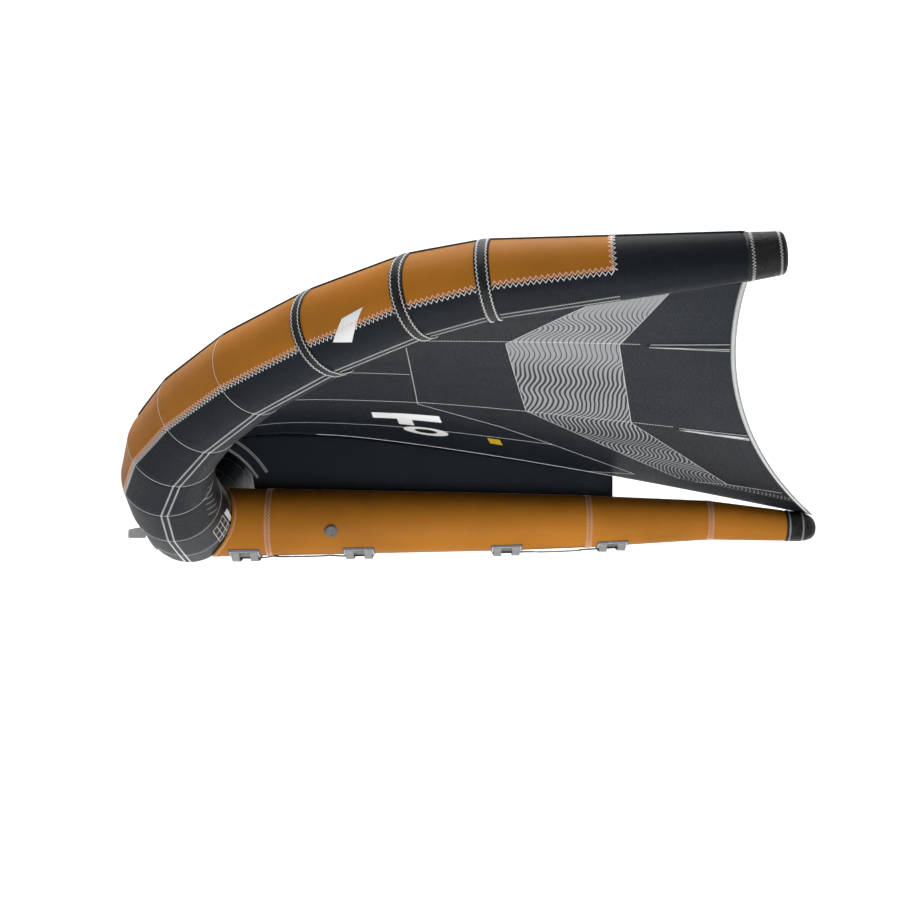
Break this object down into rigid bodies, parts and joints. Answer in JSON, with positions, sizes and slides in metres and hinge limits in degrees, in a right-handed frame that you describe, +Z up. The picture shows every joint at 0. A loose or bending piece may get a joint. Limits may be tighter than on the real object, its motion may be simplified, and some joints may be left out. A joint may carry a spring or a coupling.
{
  "type": "inflatable hand wing",
  "caption": "Inflatable hand-held sail wing with a swept, upswept leading-edge tube, one central strut, a thin canopy and hand straps under the strut.",
  "frame": {"origin": "point on the underside of the centre strut, in the centre plane, midway between the front and rear hand straps", "axes": "+X rearward along the strut from the leading edge to the tail, +Y to the right, away from the side with the valve, +Z up"},
  "size_m": [2.0082, 2.6974, 0.7741],
  "materials": {
    "casing_dark": "matte woven polyester, dark blue-black",
    "casing_orange": "satin woven polyester, mustard orange",
    "canopy": "fine ripstop, dark blue-black, slight sheen",
    "hem_tape": "woven tape, light grey zigzag stitching",
    "reinforcement": "coated black reinforcing cloth",
    "batten": "pultruded glass fibre, matt",
    "bladder": "translucent polyurethane film",
    "handle_base": "coated dark grey cloth, stitched edge",
    "webbing_grey": "woven grey webbing",
    "webbing_dark": "woven black webbing",
    "grip": "soft foam grip, matt",
    "valve_plastic": "moulded dark grey plastic"
  },
  "bodies": {
    "wing": {"leading_edge_nose": "casing_dark", "leading_edge_left_1": "casing_dark", "leading_edge_left_2": "casing_dark", "leading_edge_left_3": "casing_dark", "leading_edge_left_4": "casing_dark", "leading_edge_left_5": "casing_dark", "leading_edge_left_6": "casing_dark", "leading_edge_left_7": "casing_dark", "leading_edge_left_8": "casing_dark", "leading_edge_left_9": "casing_dark", "leading_edge_right_1": "casing_dark", "leading_edge_right_2": "casing_dark", "leading_edge_right_3": "casing_dark", "leading_edge_right_4": "casing_dark", "leading_edge_right_5": "casing_dark", "leading_edge_right_6": "casing_dark", "leading_edge_right_7": "casing_dark", "leading_edge_right_8": "casing_dark", "leading_edge_right_9": "casing_dark", "tip_cap_left": "reinforcement", "ring_bands_left": "reinforcement", "bumper_strip_left": "reinforcement", "canopy_left_inner": "canopy", "canopy_left_middle": "canopy", "canopy_left_outer": "canopy", "trailing_hem_left": "hem_tape", "battens_left": "batten", "batten_pockets_left": "canopy", "tip_cap_right": "reinforcement", "ring_bands_right": "reinforcement", "bumper_strip_right": "reinforcement", "canopy_right_inner": "canopy", "canopy_right_middle": "canopy", "canopy_right_outer": "canopy", "trailing_hem_right": "hem_tape", "battens_right": "batten", "batten_pockets_right": "canopy", "leading_edge_bladder": "bladder", "strut_bladder": "bladder", "transfer_hose": "bladder", "strut_front": "casing_orange", "strut_middle": "casing_orange", "strut_rear": "casing_orange", "strut_tail": "casing_orange", "strut_end_cap": "reinforcement", "keel_web": "canopy", "front_handle_bases": "handle_base", "front_handle_loops": "webbing_grey", "front_handle_tails": "webbing_dark", "rear_handle_bases": "handle_base", "rear_handle_loops": "webbing_grey", "rear_handle_tails": "webbing_dark", "nose_handle_patch": "reinforcement", "valve_body": "valve_plastic"},
    "front_handle": {"front_grip": "grip"},
    "rear_handle": {"rear_grip": "grip"},
    "nose_handle": {"nose_handle_loop": "webbing_grey"},
    "valve_cap": {"valve_cap": "valve_plastic"},
    "valve_plunger": {"valve_plunger": "valve_plastic"}
  },
  "joints": [
    {"name": "front_handle_pull", "type": "slide", "parent": "wing", "child": "front_handle", "axis": [0, 0, -1], "range_m": [0, 0.035], "deforming": ["front_handle_tails"]},
    {"name": "rear_handle_pull", "type": "slide", "parent": "wing", "child": "rear_handle", "axis": [0, 0, -1], "range_m": [0, 0.035], "deforming": ["rear_handle_tails"]},
    {"name": "nose_handle_fold", "type": "hinge", "parent": "wing", "child": "nose_handle", "pos_m": [-0.83222, 0, 0.057], "axis": [0, 1, 0], "range_deg": [-50, 50], "stiffness_Nm_per_rad": 0.15},
    {"name": "valve_cap_flip", "type": "hinge", "parent": "wing", "child": "valve_cap", "pos_m": [-0.297, -0.09729, 0.06639], "axis": [0, 0.2181, -0.9759], "range_deg": [0, 165]},
    {"name": "valve_plunger_press", "type": "slide", "parent": "wing", "child": "valve_plunger", "axis": [0, 0.9759, 0.2181], "range_m": [0, 0.004], "stiffness_N_per_m": 300}
  ]
}
